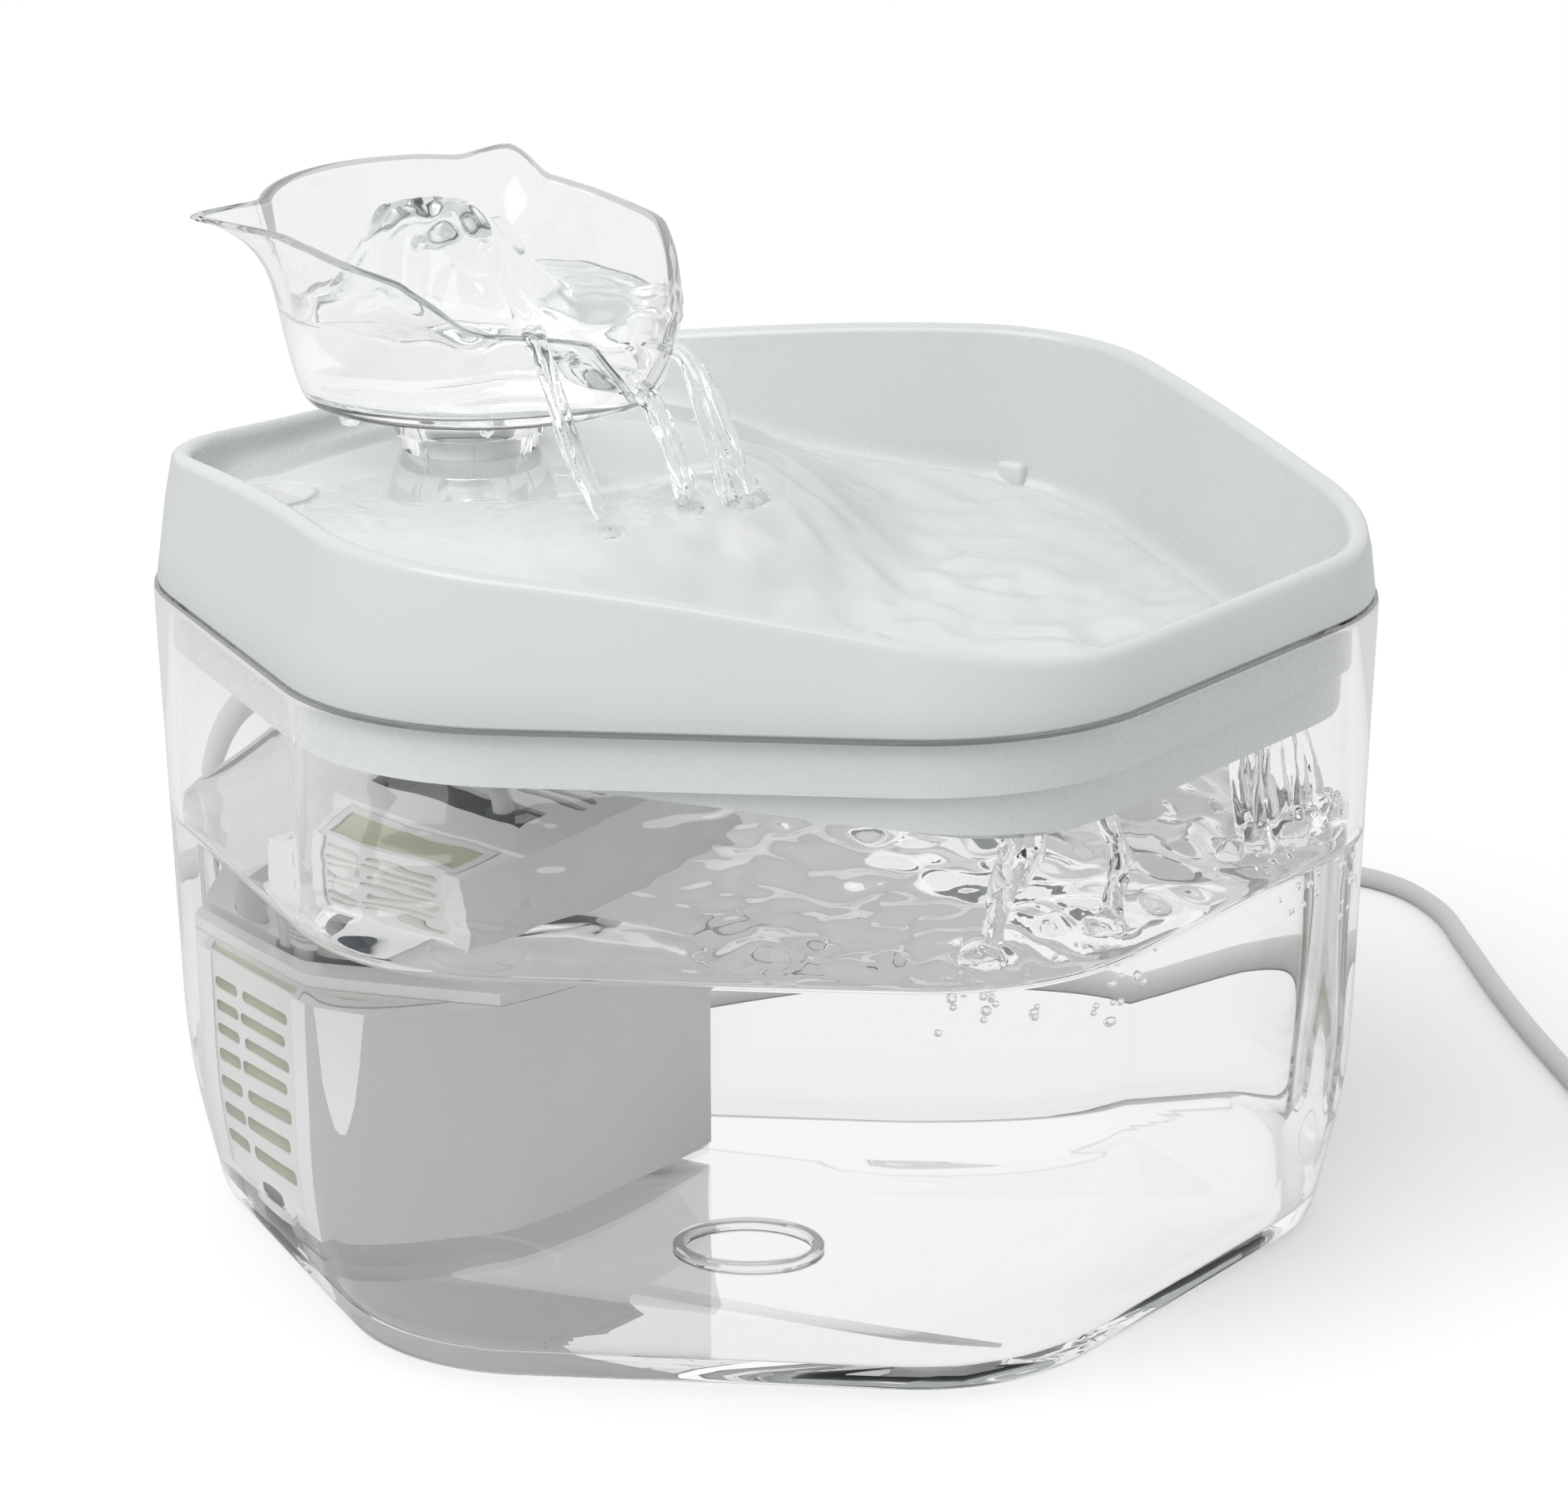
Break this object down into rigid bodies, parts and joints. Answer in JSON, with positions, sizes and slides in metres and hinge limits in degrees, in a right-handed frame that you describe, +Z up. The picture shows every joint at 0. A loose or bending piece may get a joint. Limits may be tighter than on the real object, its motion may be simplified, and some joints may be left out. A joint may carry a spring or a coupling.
{
  "type": "pet water fountain",
  "caption": "Clear six-sided pet water fountain with a wavy grey drinking tray, swivelling cat-ear spout bowl, submerged pump housing with filter cartridges, and a USB cord.",
  "frame": {"origin": "centre of the base on the surface it rests on, midway between the outermost faces of tank and spout", "axes": "+Z up; -Y the low drinking side, +Y the spout side; +X and -X through the two corners of the hexagon left and right of the drinker"},
  "size_m": [0.3054, 0.2815, 0.1659],
  "materials": {
    "clear_shell": "clear polished",
    "clear_spout": "clear polished",
    "tray_grey": "satin",
    "cap_white": "satin",
    "riser_plastic": "satin",
    "housing_grey": "satin",
    "cartridge_white": "satin",
    "filter_felt": "felted",
    "pump_black": "satin",
    "dark_rubber": "matte",
    "foot_rubber": "matte translucent",
    "sponge_foam": "open foam",
    "magnet_ferrite": "ground",
    "shaft_ceramic": "polished ceramic",
    "cord_jacket": "satin",
    "tie_black": "satin",
    "core_steel": "laminated",
    "copper_wire": "lacquered wire",
    "board_green": "circuit board",
    "resin_black": "poured resin",
    "plug_white": "satin",
    "plug_metal": "nickel plated"
  },
  "bodies": {
    "tank": {"tank": "clear_shell", "tank_feet": "foot_rubber", "riser_tube": "riser_plastic", "riser_seal": "dark_rubber", "housing_tub": "housing_grey", "suction_cups": "dark_rubber", "pump_body": "pump_black", "stator_core": "core_steel", "stator_coils": "copper_wire", "pump_board": "board_green", "potting_resin": "resin_black", "pump_cover": "pump_black", "pump_seal": "dark_rubber", "pump_sponge": "sponge_foam", "rotor_shaft": "shaft_ceramic", "shaft_bushes": "dark_rubber", "pump_gland": "dark_rubber", "inner_cord": "cord_jacket", "cord_grommet": "dark_rubber", "power_cord": "cord_jacket", "cord_coil": "cord_jacket", "cord_tail": "cord_jacket", "cord_tie": "tie_black", "plug_grip": "plug_white", "plug_shell": "plug_metal", "plug_tongue": "plug_white"},
    "tray": {"tray": "tray_grey", "spout_spigot": "tray_grey", "spout_seal": "dark_rubber"},
    "tray_cap": {"tray_cap": "cap_white"},
    "collar": {"spout_collar": "clear_spout"},
    "spout": {"spout_neck": "clear_spout", "spout_bowl": "clear_spout"},
    "lid": {"housing_lid": "housing_grey"},
    "left_filter": {"left_cartridge": "cartridge_white", "left_filter_media": "filter_felt"},
    "right_filter": {"right_cartridge": "cartridge_white", "right_filter_media": "filter_felt"},
    "impeller": {"impeller": "cartridge_white", "rotor_magnet": "magnet_ferrite"},
    "flow_slider": {"flow_slider": "cap_white"}
  },
  "joints": [
    {"name": "tray_lift", "type": "slide", "parent": "tank", "child": "tray", "axis": [0, 0, 1], "range_m": [0, 0.06]},
    {"name": "cap_lift", "type": "slide", "parent": "tray", "child": "tray_cap", "axis": [0, 0, 1], "range_m": [0, 0.012]},
    {"name": "spout_lift", "type": "slide", "parent": "tray", "child": "collar", "axis": [0, 0, 1], "range_m": [0, 0.03]},
    {"name": "spout_swivel", "type": "hinge", "parent": "collar", "child": "spout", "pos_m": [0, 0.061, 0.13], "axis": [0, 0, 1], "continuous": true},
    {"name": "lid_lift", "type": "slide", "parent": "tank", "child": "lid", "axis": [0, 0, 1], "range_m": [0, 0.018]},
    {"name": "left_filter_lift", "type": "slide", "parent": "tank", "child": "left_filter", "axis": [0, 0, 1], "range_m": [0, 0.045]},
    {"name": "right_filter_lift", "type": "slide", "parent": "tank", "child": "right_filter", "axis": [0, 0, 1], "range_m": [0, 0.045]},
    {"name": "impeller_spin", "type": "hinge", "parent": "tank", "child": "impeller", "pos_m": [0, 0.056, 0.0235], "axis": [0, 1, 0], "continuous": true},
    {"name": "flow_slide", "type": "slide", "parent": "tank", "child": "flow_slider", "axis": [1, 0, 0], "range_m": [0, 0.006]}
  ]
}
